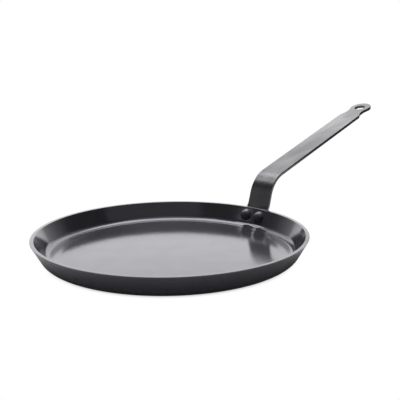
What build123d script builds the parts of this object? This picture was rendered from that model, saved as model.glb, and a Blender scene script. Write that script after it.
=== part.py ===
"""Crepe pan: a low round pan pressed from sheet steel, with a flat-bar handle held by two rivets.

The origin is on the pan's axis, in the plane that the pan rests on. +X runs out along the handle and
+Z is up. Lengths are in millimetres and angles in degrees.
"""
from build123d import *
from math import asin, atan2, cos, degrees, hypot, radians, sin, sqrt, tan
import os

# Pan body: one disc of sheet, pressed to a flat floor and a straight flared wall
rim_radius = 120.3
pan_height = 19.5
wall_flare = 10.8
sheet_thickness = 3.0
floor_bend_radius = 7.4
rim_chamfer = 0.3

# Handle: one flat bar that follows the wall, stands up past the rim and bends over
bar_width = 24.7
root_width = 26.0
bar_thickness = 3.0
bar_chamfer = 0.3
root_above_bend = 0.4
root_corner_radius = 4.0
flattening_height = 4.0
riser_lean = 16.0
riser_corner_height = 29.1
riser_bend_radius = 29.5
upper_rise = 17.5
upper_length = 200.0

# Eye at the far end of the handle
eye_radius = 11.7
hanging_hole_radius = 5.8
hanging_hole_setback = 1.2
neck_width = 18.8
neck_scoop_radius = 23.0
shoulder_radius = 3.0

# Rivets: a high dome inside the pan, a lower set head on the back of the handle
rivet_spacing = 16.0
rivet_height = 12.6
rivet_shank_radius = 2.75
rivet_hole_clearance = 0.1
dome_radius = 6.0
dome_height = 4.6
set_head_radius = 4.2
set_head_height = 2.0

# How far a cutting shape runs past what it cuts
overrun = 4.0

# Shares of the flattening height at which the bar's cross-section is drawn
flattening_shares = (0, 0.25, 0.5, 0.75, 1)

# Share of the bar's thickness that an edge straight through it stays under, also where it slants
short_edge_share = 1.3

# Share of the set head's radius that its flat top keeps
set_head_top_share = 0.7

# A round shape that stands on the origin
STANDING = (Align.CENTER, Align.CENTER, Align.MIN)

# The wall, worked out from the sizes above
base_radius = rim_radius - wall_flare
wall_lean = degrees(atan2(wall_flare, pan_height))
wall_slant = hypot(wall_flare, pan_height)
wall_slope = tan(radians(wall_lean))
wall_out = Vector(cos(radians(wall_lean)), 0, -sin(radians(wall_lean)))
sheet_across = sheet_thickness / cos(radians(wall_lean))
bar_across = bar_thickness / cos(radians(wall_lean))
inner_base_radius = base_radius + sheet_thickness * wall_slope - sheet_across
outer_bend_radius = floor_bend_radius + sheet_thickness
bend_reach = outer_bend_radius * tan(radians(90 - wall_lean) / 2)
bend_top = bend_reach * cos(radians(wall_lean))

# The handle's side view
riser_slope = tan(radians(riser_lean))
riser_start_height = pan_height + flattening_height
riser_start_radius = rim_radius + flattening_height * (wall_slope + riser_slope) / 2
corner_height = pan_height + riser_corner_height
corner_radius = riser_start_radius + (corner_height - riser_start_height) * riser_slope
corner = Vector(corner_radius, 0, corner_height)
upper_plane = Plane(
    origin=corner,
    x_dir=(cos(radians(upper_rise)), 0, sin(radians(upper_rise))),
    z_dir=(-sin(radians(upper_rise)), 0, cos(radians(upper_rise))),
)

# The even taper from the root's end to the corner of the bend, along the upper plane
root_end_height = bend_top + root_above_bend
root_end = Vector(base_radius + root_end_height * wall_slope, 0, root_end_height)
half_width = bar_width / 2
half_root = root_width / 2
half_blank = half_root + overrun
root_place = (root_end - corner).dot(upper_plane.x_dir)
taper_slope = (half_width - half_root) / root_place

# The eye's plan, along and across the upper part of the bar
eye_centre = upper_length - eye_radius
hole_centre = eye_centre - hanging_hole_setback
scoop_offset = neck_width / 2 + neck_scoop_radius
neck_centre = eye_centre - sqrt((neck_scoop_radius + eye_radius) ** 2 - scoop_offset**2)
shoulder_place = neck_centre - sqrt(neck_scoop_radius**2 - (scoop_offset - half_width) ** 2)

# Where the rivets stand on the wall
wall_radius_at_rivet = base_radius + rivet_height * wall_slope - sheet_across
rivet_turn = degrees(asin(rivet_spacing / 2 / wall_radius_at_rivet))
rivet_plane = Plane(
    origin=(wall_radius_at_rivet, 0, rivet_height), x_dir=(0, 1, 0), z_dir=-wall_out
)
grip = sheet_thickness + bar_thickness


def outer_wall_point(height):
    """Point of the wall's outer face at a height, in the plane through the handle."""
    return Vector(base_radius + height * wall_slope, 0, height)


def pressed_shell():
    """The pan before drilling: one section turned about the axis."""
    rim_outer = (rim_radius, pan_height)
    rim_inner = (rim_radius - sheet_across, pan_height)
    outside = FilletPolyline((0, 0), (base_radius, 0), rim_outer, radius=outer_bend_radius)
    inside = FilletPolyline(
        rim_inner, (inner_base_radius, sheet_thickness), (0, sheet_thickness), radius=floor_bend_radius
    )
    outline = outside + Line(rim_outer, rim_inner) + inside + Line((0, sheet_thickness), (0, 0))
    shell = revolve(Plane.XZ * make_face(outline), Axis.Z)
    rim_edges = shell.edges().group_by(Axis.Z)[-1]
    return chamfer(rim_edges, min(rim_chamfer, sheet_across / 3))


def root_band():
    """A full ring that lies on the wall's outer face, from which the handle's root is taken."""
    low = outer_wall_point(0)
    high = outer_wall_point(pan_height)
    section = Polyline(low, high, high + Vector(bar_across, 0, 0), low + wall_out * bar_thickness, close=True)
    return revolve(make_face(section), Axis.Z)


def cupped_root():
    """The handle's root: the part of the ring behind the bar, from its end up to the rim."""
    up_the_wall = Plane(origin=root_end, x_dir=(0, 1, 0), z_dir=wall_out)
    length = wall_slant + overrun
    blank = Pos(0, length / 2) * Rectangle(2 * half_blank, length)
    return root_band() & extrude(up_the_wall * blank, bar_thickness + overrun, both=True)


def cup_depth(radius):
    """How far the edges of the uncut bar lie behind its middle where it is cupped to a radius."""
    return radius - sqrt(radius**2 - half_blank**2)


def bar_section(share):
    """Level cross-section of the uncut bar at a share of the flattening height above the rim."""
    height = pan_height + flattening_height * share
    slope = wall_slope + (riser_slope - wall_slope) * share
    front = rim_radius + flattening_height * (wall_slope + slope) / 2 * share
    back = front + bar_thickness * sqrt(1 + slope**2)
    cupping = 1 - share**2 * (3 - 2 * share)
    front_edge = front - cup_depth(rim_radius) * cupping
    back_edge = back - cup_depth(rim_radius + bar_across) * cupping
    corners = [
        (front_edge, -half_blank, height),
        (front_edge, half_blank, height),
        (back_edge, half_blank, height),
        (back_edge, -half_blank, height),
    ]
    if cupping > 0:
        front_line = ThreePointArc(corners[0], (front, 0, height), corners[1])
        back_line = ThreePointArc(corners[2], (back, 0, height), corners[3])
    else:
        front_line = Line(corners[0], corners[1])
        back_line = Line(corners[2], corners[3])
    sides = Line(corners[1], corners[2]) + Line(corners[3], corners[0])
    return make_face(front_line + sides + back_line)


def flattening():
    """The stretch above the rim where the bar goes from cupped to flat."""
    return loft([bar_section(share) for share in flattening_shares])


def bent_bar():
    """The riser, the bend and the long upper part, before the bar is cut to its plan."""
    riser_out = Vector(cos(radians(riser_lean)), -sin(radians(riser_lean)))
    upper_out = Vector(sin(radians(upper_rise)), -cos(radians(upper_rise)))
    foot = Vector(riser_start_radius, riser_start_height)
    bend = Vector(corner_radius, corner_height)
    end = bend + Vector(cos(radians(upper_rise)), sin(radians(upper_rise))) * upper_length
    foot_back = foot + Vector(bar_thickness / cos(radians(riser_lean)), 0)
    bend_back = bend + (riser_out + upper_out) * (bar_thickness / (1 + riser_out.dot(upper_out)))
    end_back = end + upper_out * bar_thickness
    front = FilletPolyline(foot, bend, end, radius=riser_bend_radius)
    back = FilletPolyline(end_back, bend_back, foot_back, radius=riser_bend_radius - bar_thickness)
    outline = front + Line(end, end_back) + back + Line(foot_back, foot)
    return extrude(Plane.XZ * make_face(outline), half_blank, both=True)


def bar_plan():
    """Plan of the bar square to its upper part: tapered root, straight sides, shoulders, neck and eye."""
    scoop = Vector(neck_centre, scoop_offset)
    eye = Vector(eye_centre, 0)
    meeting = eye + (scoop - eye).normalized() * eye_radius
    scoop_side = ThreePointArc((shoulder_place, half_width), (neck_centre, neck_width / 2), meeting)
    eye_side = ThreePointArc(meeting, (upper_length, 0), (meeting.X, -meeting.Y))
    behind = root_place - overrun
    half_behind = half_root + overrun * taper_slope
    straight_side = Polyline((shoulder_place, half_width), (0, half_width), (behind, half_behind))
    left = straight_side + scoop_side
    end = Line((behind, half_behind), (behind, -half_behind))
    plan = make_face(left + eye_side + mirror(left, Plane.XZ) + end)
    shoulders = plan.vertices().group_by(Axis.X)[-2]
    return fillet(shoulders, shoulder_radius)


def hanging_hole():
    """The round hole through the eye, square to the bar."""
    drill = Cylinder(hanging_hole_radius, 2 * (bar_thickness + overrun))
    return upper_plane * Pos(hole_centre, 0) * drill


def rivet_holes():
    """Drills for the two rivet holes, through the wall and the handle's root together."""
    drill = Cylinder(rivet_shank_radius + rivet_hole_clearance, 2 * (grip + overrun))
    return [Rot(0, 0, side * rivet_turn) * (rivet_plane * drill) for side in (-1, 1)]


def pan_body():
    """The pressed shell with its two rivet holes."""
    return pressed_shell() - rivet_holes()


def runs_through_bar(edge):
    """Whether an edge is one of the short straight ones that only join the bar's front to its back."""
    return edge.geom_type == GeomType.LINE and edge.length < bar_thickness * short_edge_share


def strip_handle():
    """The whole bar, cut to its plan, with rounded lower corners, eased edges and its three holes."""
    plan = extrude(upper_plane * bar_plan(), riser_corner_height + pan_height + upper_length, both=True)
    bar = (cupped_root() + flattening() + bent_bar()) & plan
    root_corners = bar.edges().filter_by(runs_through_bar).group_by(Axis.Z)[0]
    bar = fillet(root_corners, root_corner_radius)
    eased = [edge for edge in bar.edges() if not runs_through_bar(edge)]
    bar = chamfer(eased, min(bar_chamfer, bar_thickness / 3))
    return bar - hanging_hole() - rivet_holes()


def domed_head():
    """Round dome, on a short stub that goes into the sheet."""
    depth = sheet_thickness / 2
    ball = (dome_radius**2 + dome_height**2) / (2 * dome_height)
    half_angle = asin(dome_radius / ball) / 2
    halfway = (ball * sin(half_angle), dome_height - ball + ball * cos(half_angle))
    crown = ThreePointArc((dome_radius, 0), halfway, (0, dome_height))
    stub = Polyline((0, dome_height), (0, -depth), (dome_radius, -depth), (dome_radius, 0))
    return revolve(Plane.XZ * make_face(crown + stub), Axis.Z)


def set_head():
    """Hammered head with a flat top, whose sloping side is carried on into the bar."""
    depth = bar_thickness / 2
    top = set_head_radius * set_head_top_share
    foot = set_head_radius + (set_head_radius - top) * depth / set_head_height
    return Pos(0, 0, -depth) * Cone(foot, top, set_head_height + depth, align=STANDING)


def rivet():
    """One rivet at the handle's middle line: each head bears on the face that it was set against."""
    inside_head = rivet_plane * domed_head() - pressed_shell()
    outside_head = rivet_plane * Pos(0, 0, -grip) * Rot(180, 0, 0) * set_head() - root_band()
    shank_length = grip + dome_height / 2 + set_head_height / 2
    shank = Cylinder(rivet_shank_radius, shank_length, align=STANDING)
    return inside_head + rivet_plane * Pos(0, 0, -grip - set_head_height / 2) * shank + outside_head


def write(name, shape):
    """Write one piece to its own file."""
    shape.label = name
    export_step(shape, "parts/" + name + ".step")


os.makedirs("parts", exist_ok=True)
write("pan_body", pan_body())
write("strip_handle", strip_handle())
one_rivet = rivet()
write("rivet_left", Rot(0, 0, rivet_turn) * one_rivet)
write("rivet_right", Rot(0, 0, -rivet_turn) * one_rivet)
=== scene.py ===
"""Crepe pan: the visual model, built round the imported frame.

The pan, its flat-bar handle and its two rivets are rebuilt here as fine surfaces in the same place and
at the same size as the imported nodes, and dressed in dark blued steel. Lengths are in metres.
"""
from __future__ import annotations

import logging
import math
from dataclasses import dataclass, field
from enum import Enum

import bmesh
import bpy
import numpy as np
from mathutils import Matrix, Vector

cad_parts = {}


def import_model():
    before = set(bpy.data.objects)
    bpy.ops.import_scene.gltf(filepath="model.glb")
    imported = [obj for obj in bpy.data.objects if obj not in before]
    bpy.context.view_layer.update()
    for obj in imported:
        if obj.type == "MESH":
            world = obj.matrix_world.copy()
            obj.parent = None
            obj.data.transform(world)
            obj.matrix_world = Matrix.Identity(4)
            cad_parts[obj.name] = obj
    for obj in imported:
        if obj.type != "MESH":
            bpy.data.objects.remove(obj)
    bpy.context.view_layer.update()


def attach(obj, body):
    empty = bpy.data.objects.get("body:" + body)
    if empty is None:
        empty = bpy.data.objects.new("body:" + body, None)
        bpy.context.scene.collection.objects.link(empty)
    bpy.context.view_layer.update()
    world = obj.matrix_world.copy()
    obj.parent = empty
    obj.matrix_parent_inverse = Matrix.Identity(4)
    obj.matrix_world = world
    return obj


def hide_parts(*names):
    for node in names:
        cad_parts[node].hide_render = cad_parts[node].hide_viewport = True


MM = 0.001
SAME_POINT = 1e-9
WELD_STEP = MM * 0.001
MIRROR = (1, -1, 1, -1)
WHITE = (1, 1, 1, 1)
LOG = logging.getLogger("crepe_pan")

Array = np.ndarray
Pair = tuple[float, float]
Triple = tuple[float, float, float]
Mesh = bpy.types.Mesh
Socket = bpy.types.NodeSocket
Sockets = bpy.types.bpy_prop_collection


class RivetSide(Enum):
    """Which of the two rivets, as a turn about the pan's axis."""

    LEFT = 1
    RIGHT = -1


def arc(centre: Pair | Array, radius: float, start: float, end: float, count: int) -> Array:
    """Points of an arc: centre plus radius times (cosine, sine) of angles evenly spaced in degrees."""
    angle = np.radians(np.linspace(start, end, count))
    return np.column_stack([centre[0] + radius * np.cos(angle), centre[1] + radius * np.sin(angle)])


def edge_arc(
    centre: Pair | Array, radius: float, start: float, end: float, count: int, hollow: bool = False
) -> Array:
    """Points of an arc, then their unit directions out of the steel, which lies outside a hollow one."""
    points = arc(centre, radius, start, end, count)
    return np.hstack([points, (points - centre) / (-radius if hollow else radius)])


def moved_in(outline: Array, distance: float | Array) -> Array:
    """Points of an outline moved into the steel by a distance."""
    return outline[:, :2] - distance * outline[:, 2:]


def straight(start: Pair | Array, end: Pair | Array, count: int) -> Array:
    """Points spaced evenly from start to end, both included."""
    share = np.linspace(0, 1, count)[:, None]
    return np.asarray(start) * (1 - share) + np.asarray(end) * share


def without_repeats(points: Array) -> Array:
    """Drops each point that repeats the one before it."""
    step = np.linalg.norm(np.diff(points, axis=0), axis=1)
    return points[np.concatenate([[True], step > SAME_POINT])]


def round_angles(count: int) -> Array:
    """Angles spaced evenly round a circle, in radians, from zero."""
    return np.linspace(0, 2 * math.pi, count, endpoint=False)


def turned(radius: Array, height: Array, turn: Array) -> Array:
    """Points at a radius, a height and a turn about the axis: (radius cos t, radius sin t, height)."""
    return np.stack([radius * np.cos(turn), radius * np.sin(turn), height + 0 * turn], axis=-1)


def soft_step(share: Array) -> Array:
    """Soft rise from 0 to 1: the share squared times (3 less twice the share)."""
    return share**2 * (3 - 2 * share)


class Patchwork:
    """Collects grids of points and welds them into one mesh where their edges meet."""

    def __init__(self) -> None:
        """Starts with no grids."""
        self.points: list[Array] = []
        self.blanks: list[Array] = []
        self.edges: list[Array] = []
        self.faces: list[Array] = []
        self.count = 0

    def add(
        self, points: Array, blank: Array, edge: Array, wrap_rows: bool = False, wrap_columns: bool = False
    ) -> None:
        """Adds one grid of points, with a square face between each four neighbours.

        Args:
            points: Array of shape (rows, columns, 3).
            blank: Place on the flat sheet that the steel was cut from, same shape.
            edge: How near each point is to a worn edge, from 0 to 1, shape (rows, columns).
            wrap_rows: Whether the last row joins the first.
            wrap_columns: Whether the last column joins the first.
        """
        rows, columns = points.shape[:2]
        index = np.arange(rows * columns).reshape(rows, columns) + self.count
        if wrap_rows:
            index = np.vstack([index, index[:1]])
        if wrap_columns:
            index = np.hstack([index, index[:, :1]])
        faces = np.stack([index[:-1, :-1], index[1:, :-1], index[1:, 1:], index[:-1, 1:]], axis=-1)
        self.points.append(points.reshape(-1, 3))
        self.blanks.append(blank.reshape(-1, 3))
        self.edges.append(edge.reshape(-1))
        self.faces.append(faces.reshape(-1, 4))
        self.count += rows * columns

    def mesh(self, name: str) -> Mesh:
        """Welds the grids and writes the mesh, with the blank's place and the edge wear as attributes.

        A face with two corners welded together becomes a triangle, and one with more is dropped.

        Args:
            name: Name of the new mesh.

        Returns:
            The mesh, smooth shaded, with its faces pointing outwards.
        """
        points = np.concatenate(self.points)
        keys = np.round(points / WELD_STEP).astype(np.int64)
        _, first, weld = np.unique(keys, axis=0, return_index=True, return_inverse=True)
        faces = weld.reshape(-1)[np.concatenate(self.faces)]
        ordered = np.sort(faces, axis=1)
        repeats = (ordered[:, 1:] == ordered[:, :-1]).sum(axis=1)
        triangles = [
            face[np.sort(np.unique(face, return_index=True)[1])].tolist() for face in faces[repeats == 1]
        ]
        mesh = bpy.data.meshes.new(name)
        mesh.from_pydata(points[first], [], faces[repeats == 0].tolist() + triangles)
        blank = mesh.attributes.new("blank", "FLOAT_VECTOR", "POINT")
        blank.data.foreach_set("vector", np.concatenate(self.blanks)[first].reshape(-1))
        edge = mesh.attributes.new("edge", "FLOAT", "POINT")
        edge.data.foreach_set("value", np.concatenate(self.edges)[first])
        shell = bmesh.new()
        shell.from_mesh(mesh)
        bmesh.ops.recalc_face_normals(shell, faces=shell.faces)
        shell.to_mesh(mesh)
        shell.free()
        mesh.shade_smooth()
        return mesh


def put(name: str, data: bpy.types.ID) -> bpy.types.Object:
    """Makes an object of a mesh, a camera or a light and links it into the scene.

    Args:
        name: Name of the new object.
        data: What the object holds.

    Returns:
        The new object.
    """
    thing = bpy.data.objects.new(name, data)
    bpy.context.scene.collection.objects.link(thing)
    return thing


def place(name: str, mesh: Mesh, node: str, material: bpy.types.Material) -> None:
    """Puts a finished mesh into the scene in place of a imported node.

    Args:
        name: Name of the new piece.
        mesh: Its mesh, already in place.
        node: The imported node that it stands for.
        material: Its finish.
    """
    piece = put(name, mesh)
    mesh.materials.append(material)
    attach(piece, "root")
    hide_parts(node)
    LOG.info("%s: %d faces in place of %s", name, len(mesh.polygons), node)


@dataclass
class PanWall:
    """The straight part of the flared wall, which the root of the handle and the rivets follow."""

    rim_radius: float = 120.3 * MM
    height: float = 19.5 * MM
    flare: float = 10.8 * MM
    sheet: float = 3.0 * MM
    floor_bend: float = 7.4 * MM

    @property
    def lean(self) -> float:
        """Angle of the wall from upright, in radians."""
        return math.atan2(self.flare, self.height)

    @property
    def sheet_across(self) -> float:
        """Width of the rim's flat, which is a level cut through the leaning sheet."""
        return self.sheet / math.cos(self.lean)

    @property
    def bend_top(self) -> float:
        """Height at which the outer face leaves the bend at the foot of the wall."""
        return self.bend_reach(self.floor_bend + self.sheet) * math.cos(self.lean)

    def outer_radius(self, height: float) -> float:
        """Radius of the outer face at a height."""
        return self.rim_radius - self.flare * (1 - height / self.height)

    def bend_reach(self, radius: float) -> float:
        """Distance from the corner of floor and wall to where an arc of this radius starts."""
        return radius * math.tan((math.pi / 2 - self.lean) / 2)


@dataclass
class PanBody:
    """The pan: one section turned about the axis. Fields that end in points count them."""

    wall: PanWall
    rim_edge: float = 0.3 * MM
    floor_recess: float = 0.5 * MM
    recess_margin: float = 1.5 * MM
    recess_slope: float = 8.0 * MM
    wear_reach: float = 0.8 * MM
    level_points: int = 22
    slope_points: int = 12
    inner_bend_points: int = 15
    inner_wall_points: int = 14
    inner_lip_points: int = 5
    rim_points: int = 5
    outer_lip_points: int = 6
    outer_wall_points: int = 12
    outer_bend_points: int = 17
    turns: int = 448

    def section(self) -> Array:
        """Half section from the middle of the floor, over the rim and back to the middle of the base.

        Straight lines joined by arcs that touch both neighbours: two concentric arcs at the foot of the
        wall, a sheet's thickness apart, and a small one at each edge of the level rim.

        Returns:
            Points (radius, height), shape (count, 2).
        """
        wall, lean = self.wall, math.degrees(self.wall.lean)
        inner_foot = wall.outer_radius(wall.sheet) - wall.sheet_across
        bend_centre = (inner_foot - wall.bend_reach(wall.floor_bend), wall.sheet + wall.floor_bend)
        inner_reach = self.rim_edge / math.tan((math.pi / 2 + wall.lean) / 2)
        outer_reach = self.rim_edge / math.tan((math.pi / 2 - wall.lean) / 2)
        edge_height = wall.height - self.rim_edge
        inner_centre = (wall.rim_radius - wall.sheet_across + inner_reach, edge_height)
        outer_centre = (wall.rim_radius - outer_reach, edge_height)
        inner_bend = arc(bend_centre, wall.floor_bend, -90, -lean, self.inner_bend_points)
        inner_lip = arc(inner_centre, self.rim_edge, 180 - lean, 90, self.inner_lip_points)
        outer_lip = arc(outer_centre, self.rim_edge, 90, -lean, self.outer_lip_points)
        outer_bend = arc(bend_centre, wall.floor_bend + wall.sheet, -lean, -90, self.outer_bend_points)
        parts = [
            self.floor(inner_bend[0]),
            inner_bend,
            straight(inner_bend[-1], inner_lip[0], self.inner_wall_points),
            inner_lip,
            straight(inner_lip[-1], outer_lip[0], self.rim_points),
            outer_lip,
            straight(outer_lip[-1], outer_bend[0], self.outer_wall_points),
            outer_bend,
            straight(outer_bend[-1], (0, 0), self.level_points),
        ]
        return without_repeats(np.concatenate(parts))

    def floor(self, foot: Array) -> Array:
        """The floor's face: a level ring inside the bend, a soft slope down and a level middle.

        The height falls by the recess times the soft step of a share that runs from 0 to 1 down the
        slope.

        Args:
            foot: Point (radius, height) where the floor meets the bend.

        Returns:
            Points (radius, height) from the middle out to the foot.
        """
        outer = foot[0] - self.recess_margin
        inner = outer - self.recess_slope
        level = np.linspace(0, inner, self.level_points)
        slope = np.linspace(inner, outer, self.slope_points)
        radius = np.concatenate([level, slope[1:], [foot[0]]])
        share = np.clip((outer - radius) / self.recess_slope, 0, 1)
        return np.column_stack([radius, foot[1] - self.floor_recess * soft_step(share)])

    def mesh(self) -> Mesh:
        """The section turned about the axis, with wear that fades away from the rim.

        Returns:
            The pan's mesh.
        """
        section = self.section()
        turn = round_angles(self.turns)[:, None]
        points = turned(section[:, 0], section[:, 1], turn)
        below_rim = np.abs(section[:, 1] - self.wall.height)
        edge = np.exp(-((below_rim / self.wear_reach) ** 2)) + 0 * turn
        patches = Patchwork()
        patches.add(points, points, edge, wrap_rows=True)
        return patches.mesh("pan_body_surface")


@dataclass
class StripHandle:
    """The handle: cut flat from bar, then cupped at its root and bent.

    A point of the blank is (along, across, depth): along the bar's middle line from the root's end,
    across to the left, and down from the front skin, which is the upper one past the bend. Fields
    that end in points count them.
    """

    wall: PanWall
    width: float = 24.7 * MM
    root_width: float = 26.0 * MM
    thickness: float = 3.0 * MM
    edge_radius: float = 0.4 * MM
    root_above_bend: float = 0.4 * MM
    root_corner: float = 4.0 * MM
    flattening_height: float = 4.0 * MM
    riser_lean: float = math.radians(16.0)
    riser_corner_height: float = 29.1 * MM
    bend_radius: float = 29.5 * MM
    upper_rise: float = math.radians(17.5)
    upper_length: float = 200.0 * MM
    eye_radius: float = 11.7 * MM
    hole_radius: float = 5.8 * MM
    hole_setback: float = 1.2 * MM
    hole_edge: float = 0.25 * MM
    neck_half: float = 9.4 * MM
    scoop_radius: float = 23.0 * MM
    shoulder_radius: float = 3.0 * MM
    wear_reach: float = 1.2 * MM
    path_points: int = 6001
    path_share: float = 1.02
    corner_points: int = 9
    wall_points: int = 8
    bend_points: int = 46
    upper_points: int = 44
    shoulder_points: int = 7
    scoop_points: int = 9
    neck_points: int = 8
    eye_points: int = 65
    edge_points: int = 6
    cut_points: int = 4
    across_points: int = 20
    middle_share: float = 0.94
    edge_share: float = 0.985
    ring_shares: tuple[float, ...] = (0, 0.06, 0.25, 0.5, 0.75, 0.94, 1)
    path: tuple[Array, ...] = field(init=False)

    def __post_init__(self) -> None:
        """Works out the lengths of the stretches and the bent middle line."""
        self.half = self.width / 2
        self.root_end_height = self.wall.bend_top + self.root_above_bend
        self.wall_length = (self.wall.height - self.root_end_height) / math.cos(self.wall.lean)
        mean_lean = (self.wall.lean + self.riser_lean) / 2
        self.flattening_length = self.flattening_height / math.cos(mean_lean)
        turn = math.pi / 2 - self.upper_rise - self.riser_lean
        reach = self.bend_radius * math.tan(turn / 2)
        riser = (self.riser_corner_height - self.flattening_height) / math.cos(self.riser_lean)
        self.bend_start = self.wall_length + self.flattening_length + (riser - reach)
        self.bend_end = self.bend_start + self.bend_radius * turn
        self.length = self.bend_end - reach + self.upper_length
        self.path = self.middle_line()

    def middle_line(self) -> tuple[Array, ...]:
        """The front skin's middle line: the running sum of its direction, from the root's end.

        Its lean from upright is constant along each flat stretch and turns evenly between them.

        Returns:
            Arrays of distance along, radius, height and lean.
        """
        wall, riser, upper = self.wall.lean, self.riser_lean, math.pi / 2 - self.upper_rise
        flat_from = self.wall_length + self.flattening_length
        marks = [0, self.wall_length, flat_from, self.bend_start, self.bend_end]
        along = np.linspace(0, self.length * self.path_share, self.path_points)
        lean = np.interp(along, marks, [wall, wall, riser, riser, upper])
        step = np.diff(along)
        middle = (lean[1:] + lean[:-1]) / 2
        out = np.concatenate([[0], np.cumsum(np.sin(middle) * step)])
        up = np.concatenate([[0], np.cumsum(np.cos(middle) * step)])
        return along, self.wall.outer_radius(self.root_end_height) + out, self.root_end_height + up, lean

    def half_at(self, along: Array) -> Array:
        """Half width along the blank.

        It falls evenly from the root's end to the bend's corner, as measured along the direction of
        the upper part, and stays the same from there.

        Args:
            along: Distances along the blank.

        Returns:
            Half widths, same shape.
        """
        known, radius, height, _ = self.path
        level = radius * math.cos(self.upper_rise) + height * math.sin(self.upper_rise)
        corner = level[-1] + (self.length - known[-1]) - self.upper_length
        reach = np.interp(along, known, level)
        return np.interp(reach, [level[0], corner], [self.root_width / 2, self.half])

    def bend(self, blank: Array) -> Array:
        """Carries points of the blank onto the bent and cupped bar.

        Each point moves along the middle line, then out of it by its depth, square to it. Where the
        bar is cupped, a point that lies across by y at radius r moves back to the square root of
        r squared less y squared, by the share of cupping there, which falls softly from 1 on the
        wall to 0 where the bar is flat.

        Args:
            blank: Points (along, across, depth), any shape ending in 3.

        Returns:
            Points (x, y, z) of the same shape.
        """
        along, across, depth = blank[..., 0], blank[..., 1], blank[..., 2]
        known, radius, height, lean = self.path
        slant = np.interp(along, known, lean)
        out = np.interp(along, known, radius) + depth * np.cos(slant)
        up = np.interp(along, known, height) - depth * np.sin(slant)
        cupping = 1 - soft_step(np.clip((along - self.wall_length) / self.flattening_length, 0, 1))
        cupped = out - cupping * (out - np.sqrt(out**2 - across**2))
        return np.stack([cupped, across, up], axis=-1)

    @property
    def eye_centre(self) -> Array:
        """Middle of the eye on the blank."""
        return np.array([self.length - self.eye_radius, 0.0])

    @property
    def scoop_centre(self) -> Array:
        """Middle of the neck's left scoop on the blank, whose arc touches the eye's circle."""
        offset, reach = self.neck_half + self.scoop_radius, self.scoop_radius + self.eye_radius
        return np.array([self.eye_centre[0] - math.sqrt(reach**2 - offset**2), offset])

    def side_outline(self) -> Array:
        """Left side of the blank from the root's corner to the neck, with its outward directions.

        An arc at the root's corner, a straight side, an arc that rounds the shoulder and touches
        the side and the scoop, and the scoop up to the neck.

        Returns:
            Points and unit outward directions, shape (count, 4).
        """
        corner_centre = (self.root_corner, self.root_width / 2 - self.root_corner)
        corner = edge_arc(corner_centre, self.root_corner, 180, 90, self.corner_points)
        centre, shoulder_height = self.scoop_centre, self.half - self.shoulder_radius
        reach = self.scoop_radius + self.shoulder_radius
        drop = centre[1] - shoulder_height
        shoulder_centre = (centre[0] - math.sqrt(reach**2 - drop**2), shoulder_height)
        meeting = math.degrees(math.atan2(drop, centre[0] - shoulder_centre[0]))
        shoulder = edge_arc(shoulder_centre, self.shoulder_radius, 90, meeting, self.shoulder_points)
        scoop = edge_arc(centre, self.scoop_radius, meeting - 180, -90, self.scoop_points, hollow=True)
        wall = np.linspace(corner[-1, 0], self.wall_length, self.wall_points)
        bends = np.linspace(self.wall_length, self.bend_end, self.bend_points)
        upper = np.linspace(self.bend_end, shoulder[0, 0], self.upper_points)
        along = np.concatenate([wall[1:], bends[1:], upper[1:-1]])
        side = np.column_stack([along, self.half_at(along), 0 * along, 0 * along + 1])
        return np.concatenate([corner, side, shoulder, scoop[1:]])

    def eye_outline(self) -> Array:
        """Outline from the left of the neck round the eye to the right of the neck.

        Returns:
            Points and unit outward directions, shape (count, 4).
        """
        scoop, eye = self.scoop_centre, self.eye_centre
        meeting = math.degrees(math.atan2(scoop[1] - eye[1], scoop[0] - eye[0]))
        neck = edge_arc(scoop, self.scoop_radius, -90, meeting - 180, self.neck_points, hollow=True)[:-1]
        eye_arc = edge_arc(eye, self.eye_radius, meeting, -meeting, self.eye_points)
        return np.concatenate([neck, eye_arc, neck[::-1] * MIRROR])

    def rim_profile(self, radius: float) -> Array:
        """Section through a cut edge: an arc, the upright cut and another arc.

        Args:
            radius: Radius of the two arcs.

        Returns:
            Pairs (inset from the cut, depth), from the front skin to the back one.
        """
        angle = np.radians(np.linspace(0, 90, self.edge_points))
        inset = radius * (1 - np.sin(angle))
        depth = radius * (1 - np.cos(angle))
        cut = np.linspace(radius, self.thickness - radius, self.cut_points)[1:-1]
        return np.concatenate([
            np.column_stack([inset, depth]),
            np.column_stack([0 * cut, cut]),
            np.column_stack([inset[::-1], self.thickness - depth[::-1]]),
        ])

    def mesh(self) -> Mesh:
        """Front and back skins, the band round the outline and the wall of the hole, welded.

        The skins are rows across the bar up to the neck, and rings from the outline to the hole
        round the eye, closer at both ends. All are laid out on the flat blank and bent together.

        Returns:
            The handle's mesh.
        """
        patches = Patchwork()
        side, eye = self.side_outline(), self.eye_outline()
        middle = np.cos(np.linspace(0, math.pi, self.across_points)) * self.middle_share
        shares = np.concatenate([[1.0, self.edge_share], middle, [-self.edge_share, -1.0]])
        inset = moved_in(side, self.edge_radius)
        rows = np.stack([inset[:, :1] + 0 * shares, inset[:, 1:] * shares], axis=-1)
        loop = np.concatenate([moved_in(eye, self.edge_radius), rows[-1][::-1][1:-1]])
        hole = self.hole_ring(loop)
        inwards = np.array(self.ring_shares)[:, None, None]
        rings = loop * (1 - inwards) + moved_in(hole, self.hole_edge) * inwards
        for depth in (0, self.thickness):
            self.lay(patches, rows, depth)
            self.lay(patches, rings, depth, closed=True)
        across = (shares * (self.root_width / 2 - self.root_corner))[::-1][:-1]
        foot = np.column_stack([0 * across, across, 0 * across - 1, 0 * across])
        outline = np.concatenate([side[1:], eye[1:-1], side[1:][::-1] * MIRROR, foot])
        self.band(patches, outline, self.rim_profile(self.edge_radius))
        self.band(patches, hole, self.rim_profile(self.hole_edge))
        return patches.mesh("strip_handle_surface")

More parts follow.
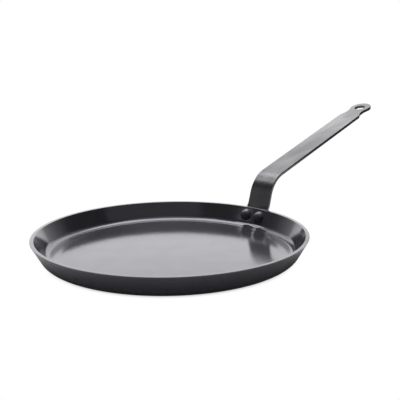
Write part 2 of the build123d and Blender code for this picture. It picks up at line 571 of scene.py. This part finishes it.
    def hole_ring(self, loop: Array) -> Array:
        """Points on the hole's edge in the same directions as the points of a loop round it.

        Args:
            loop: Points of the loop, shape (count, 2).

        Returns:
            Points and unit directions towards the hole's middle, shape (count, 4).
        """
        centre = self.eye_centre - [self.hole_setback, 0.0]
        away = loop - centre
        away /= np.linalg.norm(away, axis=1, keepdims=True)
        return np.hstack([centre + self.hole_radius * away, -away])

    def lay(self, patches: Patchwork, flat: Array, depth: float, closed: bool = False) -> None:
        """Adds one skin at a depth, whose wear fades with the distance from the nearest long side.

        Args:
            patches: Where the grid goes.
            flat: Points (along, across) of the skin, shape (rows, columns, 2).
            depth: Depth below the front skin.
            closed: Whether the grid's columns run all the way round.
        """
        blank = np.concatenate([flat, depth + 0 * flat[..., :1]], axis=-1)
        inside = np.clip(self.half_at(flat[..., 0]) - np.abs(flat[..., 1]), 0, None)
        wear = np.exp(-((inside / self.wear_reach) ** 2))
        patches.add(self.bend(blank), blank, wear, wrap_columns=closed)

    def band(self, patches: Patchwork, outline: Array, profile: Array) -> None:
        """Carries a section through the cut edge along a closed outline, worn where it is rounded.

        Args:
            patches: Where the grid goes.
            outline: Points on the cut and their outward directions, shape (count, 4).
            profile: Pairs (inset, depth).
        """
        inset = moved_in(outline, profile[:, :1, None])
        blank = np.concatenate([inset, profile[:, 1:, None] + 0 * inset[..., :1]], axis=-1)
        rounded = (profile[:, :1] > 0) + 0 * inset[..., 0]
        patches.add(self.bend(blank), blank, rounded, wrap_columns=True)


@dataclass
class Rivet:
    """One rivet: a high dome inside the pan, a shank, and a hammered set head on the back.

    Fields that end in points count them, and the lip's two angles are in degrees.
    """

    wall: PanWall
    side: RivetSide
    grip: float = 6.0 * MM
    spacing: float = 16.0 * MM
    height: float = 12.6 * MM
    shank_radius: float = 2.75 * MM
    dome_radius: float = 6.0 * MM
    dome_height: float = 4.6 * MM
    set_head_radius: float = 4.2 * MM
    set_head_height: float = 2.0 * MM
    set_head_top_share: float = 0.7
    set_head_edge: float = 0.5 * MM
    lip: float = 0.35 * MM
    lip_from: float = 25.0
    lip_to: float = -15.0
    seat: float = 0.1 * MM
    dint_depth: float = 0.12 * MM
    dint_length: float = 0.9 * MM
    dint_phase: float = 1.3
    dints_round: int = 5
    dint_twist: int = 2
    head_wear: float = 0.6
    crown_points: int = 22
    lip_points: int = 4
    side_points: int = 6
    edge_points: int = 6
    top_points: int = 12
    turns: int = 72

    def dome(self) -> Array:
        """Round dome over a short lip: an arc through the crown and the top of the lip.

        Returns:
            Points (radius, height), from the crown to the seat.
        """
        rise = self.dome_height - self.lip
        ball = (self.dome_radius**2 + rise**2) / (2 * rise)
        low = math.degrees(math.asin((ball - rise) / ball))
        crown = arc((0, self.dome_height - ball), ball, 90, low, self.crown_points)
        foot = self.dome_radius - self.lip
        lip = arc((foot, 0), self.lip, self.lip_from, self.lip_to, self.lip_points)
        return np.concatenate([crown[:-1], lip, [[foot, -self.seat]]])

    def set_head(self) -> Array:
        """The hammered head: a flat top, a rounded edge and a sloping side.

        The edge is a curve between two points, pulled towards the corner: each point is the start
        times (1 - t) squared, the corner times 2 t (1 - t) and the end times t squared, summed.

        Returns:
            Points (radius, height), from the top's middle to the seat.
        """
        corner = np.array([self.set_head_radius * self.set_head_top_share, self.set_head_height])
        foot = np.array([self.set_head_radius, 0])
        down = (foot - corner) / np.linalg.norm(foot - corner)
        start, end = corner - [self.set_head_edge, 0], corner + self.set_head_edge * down
        t = np.linspace(0, 1, self.edge_points)[:, None]
        edge = start * (1 - t) ** 2 + corner * 2 * t * (1 - t) + end * t**2
        top = straight((0, self.set_head_height), start, self.top_points)
        side = straight(end, foot, self.side_points)
        return np.concatenate([top, edge, side, [foot - [0, self.seat]]])

    def section(self) -> Array:
        """Half section from the dome's crown down the shank to the middle of the set head's top.

        Returns:
            Points (radius, height), with the wall's inner face at zero height.
        """
        top, bottom = (self.shank_radius, -self.seat), (self.shank_radius, self.seat - self.grip)
        shank = straight(top, bottom, self.side_points)
        head = self.set_head()[::-1] * MIRROR[:2] - [0, self.grip]
        return without_repeats(np.concatenate([self.dome(), shank, head]))

    def mesh(self) -> Mesh:
        """The section turned about the rivet's axis, with the set head's hammered dints.

        The dints move a point in by a wave in its angle and radius, and only past the grip.

        Returns:
            The rivet's mesh, in place on the wall.
        """
        radius, height = self.section().T
        turn = round_angles(self.turns)[:, None]
        past = np.clip((-self.grip - height) / self.set_head_height, 0, 1)
        around = np.cos(self.dints_round * turn + self.dint_phase * self.side.value)
        wave = around * np.cos(radius / self.dint_length + self.dint_twist * turn)
        lifted = height + self.dint_depth * past * (0.5 + 0.5 * wave)
        points = turned(radius, lifted, turn)
        patches = Patchwork()
        patches.add(self.stand(points), points, self.head_wear * past + 0 * turn, wrap_rows=True)
        return patches.mesh(f"rivet_{self.side.name.lower()}_surface")

    def stand(self, points: Array) -> Array:
        """Carries points from the rivet's own axes to the wall, square to it and round to one side.

        Args:
            points: Points about the rivet's axis, whose zero is the wall's inner face.

        Returns:
            The same points in the pan's axes.
        """
        lean = self.wall.lean
        radius = self.wall.outer_radius(self.height) - self.wall.sheet_across
        inward = np.array([-math.cos(lean), 0, math.sin(lean)])
        across = np.array([0.0, 1.0, 0.0])
        upward = np.cross(inward, across)
        stood = np.array([radius, 0, self.height]) + points @ np.stack([across, upward, inward])
        turn = self.side.value * math.asin(self.spacing / 2 / radius)
        cosine, sine = math.cos(turn), math.sin(turn)
        return stood @ np.array([[cosine, sine, 0], [-sine, cosine, 0], [0, 0, 1]])


class NodeSheet:
    """Adds nodes to a tree and feeds their inputs."""

    mix_share, mix_first, mix_second, mix_result = 0, 6, 7, 2

    def __init__(self, tree: bpy.types.NodeTree) -> None:
        """Keeps the tree that nodes go into."""
        self.tree = tree

    def feed(self, inputs: Sockets, values: dict[str | int, object]) -> None:
        """Joins an output to each named input, or gives it a plain value.

        Args:
            inputs: Inputs of one node.
            values: The input's name or index to what it takes.
        """
        for key, value in values.items():
            if isinstance(value, Socket):
                self.tree.links.new(value, inputs[key])
            else:
                inputs[key].default_value = value

    def add(self, kind: str, values: dict | None = None, **settings: object) -> bpy.types.Node:
        """Adds a node.

        Args:
            kind: Blender's name of its type.
            values: What its inputs take, as feed has them.
            settings: Its properties.

        Returns:
            The new node.
        """
        node = self.tree.nodes.new(kind)
        for key, value in settings.items():
            setattr(node, key, value)
        self.feed(node.inputs, values or {})
        return node

    def math(self, operation: str, *values: Socket | float) -> Socket:
        """Adds a maths node, named as Blender names the operation, and returns its output."""
        return self.add("ShaderNodeMath", dict(enumerate(values)), operation=operation).outputs[0]

    def noise(self, where: Socket, scale: Socket | float, detail: float, roughness: float) -> Socket:
        """Adds a noise from 0 to 1 and returns its output."""
        values = {"Vector": where, "Scale": scale, "Detail": detail, "Roughness": roughness}
        return self.add("ShaderNodeTexNoise", values).outputs["Fac"]

    def ramp(self, value: Socket, start: float, end: float, rise: str = "SMOOTHSTEP") -> Socket:
        """Adds a rise from 0 to 1 between two values of a socket and returns its output."""
        values = {"Value": value, "From Min": start, "From Max": end}
        return self.add("ShaderNodeMapRange", values, interpolation_type=rise).outputs[0]

    def blend(self, share: Socket, first: Socket | tuple, second: tuple) -> Socket:
        """Adds a mix of two colours, with the share of the second, and returns its output."""
        values = {self.mix_share: share, self.mix_first: first, self.mix_second: second}
        return self.add("ShaderNodeMix", values, data_type="RGBA").outputs[self.mix_result]

    def matt(self, albedo: float) -> Socket:
        """Adds a matt grey shader and returns its output."""
        return self.add("ShaderNodeBsdfDiffuse", {"Color": (albedo, albedo, albedo, 1)}).outputs[0]


def new_group(
    name: str, vectors: tuple[str, ...], numbers: tuple[str, ...], outputs: tuple[str, ...]
) -> tuple[NodeSheet, Sockets, Sockets]:
    """Makes an empty shader node group with named sockets.

    Args:
        name: Name of the group.
        vectors: Names of its vector inputs.
        numbers: Names of its number inputs.
        outputs: Names of its outputs, which are numbers.

    Returns:
        The group's sheet, the sockets that bring its inputs and the sockets that take its outputs.
    """
    group = bpy.data.node_groups.new(name, "ShaderNodeTree")
    for labels, way, kind in (
        (vectors, "INPUT", "NodeSocketVector"),
        (numbers, "INPUT", "NodeSocketFloat"),
        (outputs, "OUTPUT", "NodeSocketFloat"),
    ):
        for label in labels:
            group.interface.new_socket(label, in_out=way, socket_type=kind)
    source, result = group.nodes.new("NodeGroupInput"), group.nodes.new("NodeGroupOutput")
    return NodeSheet(group), source.outputs, result.inputs


def steel_grain_group() -> None:
    """Fine pitting, broad mottling, an oil film and slow waves, from three noises.

    The broad and the slow noise are turned and stretched along the streaks first. The height is in
    millimetres: the fine and the slow noise, each times its depth. The mottle is a half, plus the
    fine and the broad noise's swings about a half, each times its weight. The film lies where the
    broad noise is high.
    """
    numbers = (
        "Pits per Metre", "Clouds per Metre", "Waves per Metre", "Pit Weight", "Cloud Weight",
        "Pit Depth", "Wave Depth", "Turn",
    )
    sheet, source, result = new_group(
        "steel_grain", ("Place", "Offset", "Stretch"), numbers, ("Height", "Mottle", "Film")
    )
    turn = {"Vector": source["Place"], "Angle": source["Turn"]}
    turned_place = sheet.add("ShaderNodeVectorRotate", turn, rotation_type="Z_AXIS").outputs[0]
    stretch = {0: turned_place, 1: source["Stretch"], 2: source["Offset"]}
    streaked = sheet.add("ShaderNodeVectorMath", stretch, operation="MULTIPLY_ADD").outputs[0]
    pits = sheet.noise(source["Place"], source["Pits per Metre"], detail=3.0, roughness=0.6)
    clouds = sheet.noise(streaked, source["Clouds per Metre"], detail=2.0, roughness=0.4)
    waves = sheet.noise(streaked, source["Waves per Metre"], detail=1.0, roughness=0.5)
    speck = sheet.math("MULTIPLY", sheet.math("SUBTRACT", pits, 0.5), source["Pit Weight"])
    broad = sheet.math("MULTIPLY", sheet.math("SUBTRACT", clouds, 0.5), source["Cloud Weight"])
    slow = sheet.math("MULTIPLY", waves, source["Wave Depth"])
    sheet.feed(result, {
        "Height": sheet.math("MULTIPLY_ADD", pits, source["Pit Depth"], slow),
        "Mottle": sheet.math("ADD", sheet.math("ADD", speck, broad), 0.5),
        "Film": sheet.ramp(clouds, start=0.38, end=0.62),
    })


def edge_wear_group() -> None:
    """Where a cut edge has rubbed bright: the piece's edge attribute broken up by noise."""
    sheet, source, result = new_group("edge_wear", ("Place",), ("Amount",), ("Mask",))
    edge = sheet.add("ShaderNodeAttribute", attribute_name="edge").outputs["Fac"]
    breaks = sheet.noise(source["Place"], scale=260.0, detail=4.0, roughness=0.6)
    ragged = sheet.ramp(sheet.math("MULTIPLY", edge, breaks), start=0.3, end=0.7, rise="LINEAR")
    sheet.feed(result, {"Mask": sheet.math("MULTIPLY", ragged, source["Amount"])})


@dataclass(frozen=True)
class SteelFinish:
    """A blued steel finish: a dark oxide skin with its pits, an oil film and worn edges.

    The fields from pits_per_metre to stretch are named as the inputs of the grain group.
    """

    name: str
    colour: Triple
    mottled_colour: Triple
    worn_colour: Triple
    tint: Triple
    index: float
    roughness: float
    film: float
    wear: float
    pits_per_metre: float
    waves_per_metre: float
    cloud_weight: float
    pit_depth: float
    wave_depth: float
    clouds_per_metre: float = 45.0
    pit_weight: float = 0.5
    turn: float = 0.0
    offset: Triple = (0.0, 0.0, 0.0)
    stretch: Triple = (1.0, 1.0, 1.0)
    film_index: float = 1.5
    roughness_swing: float = 0.08
    worn_roughness: float = 0.1
    follows_blank: bool = False

    def build(self) -> bpy.types.Material:
        """Makes the material from the shared groups and one Principled shader.

        Returns:
            The new material.
        """
        material = bpy.data.materials.new(self.name)
        material.use_nodes = True
        sheet = NodeSheet(material.node_tree)
        groups = bpy.data.node_groups
        pattern = {"Place": self.pattern_place(sheet)}
        grain = sheet.add("ShaderNodeGroup", pattern, node_tree=groups["steel_grain"])
        for label in grain.inputs.keys():
            if label != "Place":
                grain.inputs[label].default_value = getattr(self, label.lower().replace(" ", "_"))
        wear = sheet.add("ShaderNodeGroup", pattern, node_tree=groups["edge_wear"])
        wear.inputs["Amount"].default_value = self.wear
        shader = material.node_tree.nodes["Principled BSDF"]
        self.dress(sheet, shader, grain.outputs, wear.outputs["Mask"])
        return material

    def pattern_place(self, sheet: NodeSheet) -> Socket:
        """Coordinates of the pattern: on the flat blank where it follows the bar, else in space."""
        if self.follows_blank:
            return sheet.add("ShaderNodeAttribute", attribute_name="blank").outputs["Vector"]
        return sheet.add("ShaderNodeTexCoord").outputs["Object"]

    def dress(self, sheet: NodeSheet, shader: bpy.types.Node, grain: Sockets, worn: Socket) -> None:
        """Gives the shader its colour, gloss, oil film and relief.

        Args:
            sheet: The material's tree.
            shader: Its Principled node.
            grain: Outputs of the grain group.
            worn: Mask of the worn edges.
        """
        oxide = sheet.blend(grain["Mottle"], (*self.colour, 1), (*self.mottled_colour, 1))
        smoothest = self.roughness - self.roughness_swing / 2
        swing = sheet.math("MULTIPLY_ADD", grain["Mottle"], self.roughness_swing, smoothest)
        relief = {"Strength": 1.0, "Distance": MM, "Height": grain["Height"]}
        sheet.feed(shader.inputs, {
            "Base Color": sheet.blend(worn, oxide, (*self.worn_colour, 1)),
            "Roughness": sheet.math("MULTIPLY_ADD", worn, self.worn_roughness, swing),
            "Coat Weight": sheet.math("MULTIPLY", grain["Film"], self.film),
            "Normal": sheet.add("ShaderNodeBump", relief).outputs["Normal"],
            "IOR": self.index,
            "Specular Tint": (*self.tint, 1),
            "Coat Roughness": self.roughness,
            "Coat IOR": self.film_index,
        })


PAN_FINISH = SteelFinish(
    name="blued_pan_steel",
    colour=(0.062, 0.061, 0.072),
    mottled_colour=(0.082, 0.081, 0.095),
    worn_colour=(0.12, 0.12, 0.125),
    tint=(0.90, 0.88, 1.0),
    index=1.83,
    roughness=0.12,
    roughness_swing=0.06,
    film=0.05,
    wear=0.25,
    pits_per_metre=1400.0,
    waves_per_metre=14.0,
    cloud_weight=0.4,
    pit_depth=0.012,
    wave_depth=0.1,
)
HANDLE_FINISH = SteelFinish(
    name="blued_bar_steel",
    colour=(0.037, 0.036, 0.040),
    mottled_colour=(0.085, 0.085, 0.090),
    worn_colour=(0.12, 0.12, 0.12),
    tint=(0.93, 0.915, 1.0),
    index=1.64,
    roughness=0.24,
    film=0.5,
    wear=0.15,
    pits_per_metre=1600.0,
    waves_per_metre=34.0,
    pit_weight=0.15,
    cloud_weight=0.8,
    pit_depth=0.002,
    wave_depth=0.3,
    turn=0.35,
    offset=(7.1, 1.7, 7.2),
    stretch=(0.4, 1.0, 1.0),
    follows_blank=True,
)
RIVET_FINISH = SteelFinish(
    name="black_rivet_steel",
    colour=(0.052, 0.052, 0.056),
    mottled_colour=(0.074, 0.074, 0.080),
    worn_colour=(0.10, 0.10, 0.10),
    tint=(0.97, 0.96, 1.0),
    index=1.7,
    roughness=0.34,
    film=0.1,
    wear=0.3,
    pits_per_metre=1800.0,
    clouds_per_metre=150.0,
    waves_per_metre=200.0,
    cloud_weight=0.6,
    pit_depth=0.03,
    wave_depth=0.05,
)


@dataclass
class PhotoCamera:
    """The camera, as found by fitting the pan's edges in the photograph.

    Angles are in degrees. The handle's azimuth is its turn from the picture's right towards its back.
    """

    focal_pixels: float = 700.0
    frame_pixels: float = 400.0
    sensor: float = 36.0
    nearest: float = 0.01
    furthest: float = 50.0
    distance: float = 617.75 * MM
    elevation: float = 17.235
    tilt: float = -4.322
    yaw: float = -2.526
    roll: float = 0.498
    handle_azimuth: float = 44.0

    def build(self) -> None:
        """Makes the camera and makes it the scene's."""
        data = bpy.data.cameras.new("photo_camera")
        data.sensor_width = self.sensor
        data.lens = self.sensor * self.focal_pixels / self.frame_pixels
        data.clip_start, data.clip_end = self.nearest, self.furthest
        camera = put("photo_camera", data)
        raised = math.radians(self.elevation)
        stand = Vector((0, -self.distance * math.cos(raised), self.distance * math.sin(raised)))
        about = Matrix.Rotation(-math.radians(self.handle_azimuth), 4, "Z")
        yaw = Matrix.Rotation(math.radians(self.yaw), 4, "Z")
        pitch = Matrix.Rotation(-math.radians(self.elevation + self.tilt), 4, "X")
        roll = Matrix.Rotation(math.radians(self.roll), 4, "Y")
        upright = Matrix.Rotation(math.pi / 2, 4, "X")
        camera.matrix_world = about @ Matrix.Translation(stand) @ yaw @ pitch @ roll @ upright
        bpy.context.scene.camera = camera


@dataclass(frozen=True)
class Softbox:
    """A large rectangular light: its size, place and radiance.

    Azimuth turns from the picture's right towards its back, and elevation is above the floor.
    """

    name: str
    radiance: float
    width: float
    depth: float
    distance: float
    azimuth: float
    elevation: float


SOFTBOXES = (
    Softbox("backdrop_light", 0.74, 2.1, 1.35, 1.7, 91.0, 21.0),
    Softbox("eye_light", 0.45, 0.4, 0.5, 1.6, 72.0, 35.0),
    Softbox("overhead_light", 3.4, 0.8, 0.85, 1.3, 95.0, 63.0),
    Softbox("left_light", 0.6, 0.5, 0.9, 1.8, 187.0, 22.0),
    Softbox("shoulder_light", 3.7, 0.34, 0.4, 1.27, 141.0, 50.0),
    Softbox("front_light", 0.19, 4.6, 0.9, 1.6, 285.0, 42.0),
)


@dataclass
class Studio:
    """A pale floor, a white surround, soft lights above and behind, and a dark room in front.

    The two fades are distances from the pan's axis between which the floor turns white, and the
    room's angles are in degrees.
    """

    camera: PhotoCamera
    floor_radius: float = 6.0
    floor_points: int = 96
    floor_albedo: float = 0.86
    camera_fade: Pair = (0.097, 0.112)
    gloss_fade: Pair = (0.108, 0.17)
    surround: float = 0.3
    room_radius: float = 2.2
    room_floor_from: float = 0.5
    room_floor_height: float = 0.002
    room_bottom: float = 0.1
    room_top: float = 85.0
    room_albedo: float = 0.12
    room_from: float = 108.0
    room_to: float = 428.0
    room_soft_edge: float = 42.0
    room_soft_top: float = 30.0
    room_columns: int = 64
    room_rows: int = 24

    def build(self) -> None:
        """Makes the floor, the world, the dark room and the lights."""
        self.make_floor()
        self.make_world()
        self.make_room()
        for box in SOFTBOXES:
            self.make_softbox(box)

    def mixed_material(self, name: str) -> tuple[bpy.types.Material, NodeSheet, Sockets]:
        """Makes a material that mixes two shaders.

        Args:
            name: Name of the material.

        Returns:
            The material, its sheet, and the mix's inputs: the second shader's share and the shaders.
        """
        material = bpy.data.materials.new(name)
        material.use_nodes = True
        nodes = material.node_tree.nodes
        nodes.remove(nodes["Principled BSDF"])
        sheet = NodeSheet(material.node_tree)
        mix = sheet.add("ShaderNodeMixShader")
        sheet.feed(nodes["Material Output"].inputs, {"Surface": mix.outputs[0]})
        return material, sheet, mix.inputs

    def make_floor(self) -> None:
        """A flat disc that turns plain white away from the pan where the camera or gloss sees it.

        Gloss sees the pan's shadow on it reach further out than the camera does.
        """
        turn = round_angles(self.floor_points)
        ring = np.column_stack([np.cos(turn), np.sin(turn), 0 * turn]) * self.floor_radius
        mesh = bpy.data.meshes.new("studio_floor")
        mesh.from_pydata(ring.tolist(), [], [list(range(len(ring)))])
        floor = put("studio_floor", mesh)
        material, sheet, mix = self.mixed_material("studio_white")
        where = {0: sheet.add("ShaderNodeTexCoord").outputs["Object"]}
        reach = sheet.add("ShaderNodeVectorMath", where, operation="LENGTH").outputs["Value"]
        path = sheet.add("ShaderNodeLightPath").outputs
        gloss = sheet.math("MAXIMUM", path["Is Glossy Ray"], path["Is Transmission Ray"])
        by_camera = sheet.math("MULTIPLY", sheet.ramp(reach, *self.camera_fade), path["Is Camera Ray"])
        by_gloss = sheet.math("MULTIPLY", sheet.ramp(reach, *self.gloss_fade), gloss)
        glow = sheet.add("ShaderNodeEmission", {"Color": WHITE, "Strength": 1.0}).outputs[0]
        sheet.feed(mix, {
            0: sheet.math("ADD", by_camera, by_gloss),
            1: sheet.matt(self.floor_albedo),
            2: glow,
        })
        mesh.materials.append(material)

    def make_world(self) -> None:
        """White all round to camera, glossy and transmission rays, and a weaker fill to diffuse ones."""
        world = bpy.data.worlds.new("studio_surround")
        bpy.context.scene.world = world
        world.use_nodes = True
        sheet = NodeSheet(world.node_tree)
        path = sheet.add("ShaderNodeLightPath").outputs
        either = sheet.math("MAXIMUM", path["Is Camera Ray"], path["Is Glossy Ray"])
        seen = sheet.math("MAXIMUM", either, path["Is Transmission Ray"])
        lift = sheet.math("MULTIPLY_ADD", seen, 1 - self.surround, self.surround)
        sheet.feed(world.node_tree.nodes["Background"].inputs, {"Color": WHITE, "Strength": lift})

    def room_mesh(self) -> Mesh:
        """The dark room's cloth: a dome at the sides and in front, and a ring on the floor.

        The dome is radius (cos e cos t, cos e sin t, sin e), with t between two azimuths of the
        picture and e from the floor to the top. The floor's cloth is one more ring of points, nearer
        the pan. The cover thins out evenly towards both upright edges and the top one.

        Returns:
            The mesh, with its cover as an attribute.
        """
        azimuth = np.linspace(self.room_from, self.room_to, self.room_columns)
        elevation = np.linspace(self.room_bottom, self.room_top, self.room_rows)[:, None]
        inside = np.minimum(azimuth - self.room_from, self.room_to - azimuth)
        top = np.clip((self.room_top - elevation) / self.room_soft_top, 0, 1)
        cover = np.clip(inside / self.room_soft_edge, 0, 1) * np.concatenate([top[:1], top])
        turn, raised = np.radians(azimuth - self.camera.handle_azimuth), np.radians(elevation)
        reach = np.concatenate([[[self.room_floor_from]], self.room_radius * np.cos(raised)])
        height = np.concatenate([[[self.room_floor_height]], self.room_radius * np.sin(raised)])
        points = turned(reach, height, turn)
        index = np.arange(cover.size).reshape(cover.shape)
        faces = np.stack([index[:-1, :-1], index[:-1, 1:], index[1:, 1:], index[1:, :-1]], axis=-1)
        mesh = bpy.data.meshes.new("dark_room")
        mesh.from_pydata(points.reshape(-1, 3).tolist(), [], faces.reshape(-1, 4).tolist())
        mesh.attributes.new("cover", "FLOAT", "POINT").data.foreach_set("value", cover.reshape(-1))
        return mesh

    def make_room(self) -> None:
        """The dark room round the set, which the camera doesn't see and the steel does."""
        mesh = self.room_mesh()
        room = put("dark_room", mesh)
        material, sheet, mix = self.mixed_material("dark_room_cloth")
        sheet.feed(mix, {
            0: sheet.add("ShaderNodeAttribute", attribute_name="cover").outputs["Fac"],
            1: sheet.add("ShaderNodeBsdfTransparent").outputs[0],
            2: sheet.matt(self.room_albedo),
        })
        mesh.materials.append(material)
        room.visible_camera = False

    def make_softbox(self, box: Softbox) -> None:
        """Makes one light, turned to face the pan and unseen by the camera.

        Its energy is the radiance times pi times its area.

        Args:
            box: The light's size, place and radiance.
        """
        data = bpy.data.lights.new(box.name, "AREA")
        data.shape = "RECTANGLE"
        data.size, data.size_y = box.width, box.depth
        data.energy = box.radiance * math.pi * box.width * box.depth
        light = put(box.name, data)
        light.visible_camera = False
        raised = math.radians(box.elevation)
        swung = math.radians(box.azimuth - self.camera.handle_azimuth)
        level = math.cos(raised)
        spot = Vector((level * math.cos(swung), level * math.sin(swung), math.sin(raised))) * box.distance
        facing = (-spot).to_track_quat("-Z", "Y").to_matrix().to_4x4()
        light.matrix_world = Matrix.Translation(spot) @ facing


def main() -> None:
    """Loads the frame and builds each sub-assembly in order."""
    logging.basicConfig(level=logging.INFO, format="%(name)s: %(message)s")
    bpy.context.scene.view_settings.view_transform = "Standard"
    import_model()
    steel_grain_group()
    edge_wear_group()
    wall = PanWall()
    place("pan_shell", PanBody(wall).mesh(), "pan_body", PAN_FINISH.build())
    place("bar_handle", StripHandle(wall).mesh(), "strip_handle", HANDLE_FINISH.build())
    rivet_steel = RIVET_FINISH.build()
    for side in RivetSide:
        word, mesh = side.name.lower(), Rivet(wall, side).mesh()
        place(f"domed_rivet_{word}", mesh, f"rivet_{word}", rivet_steel)
    camera = PhotoCamera()
    camera.build()
    Studio(camera).build()


if __name__ == "__main__":
    main()
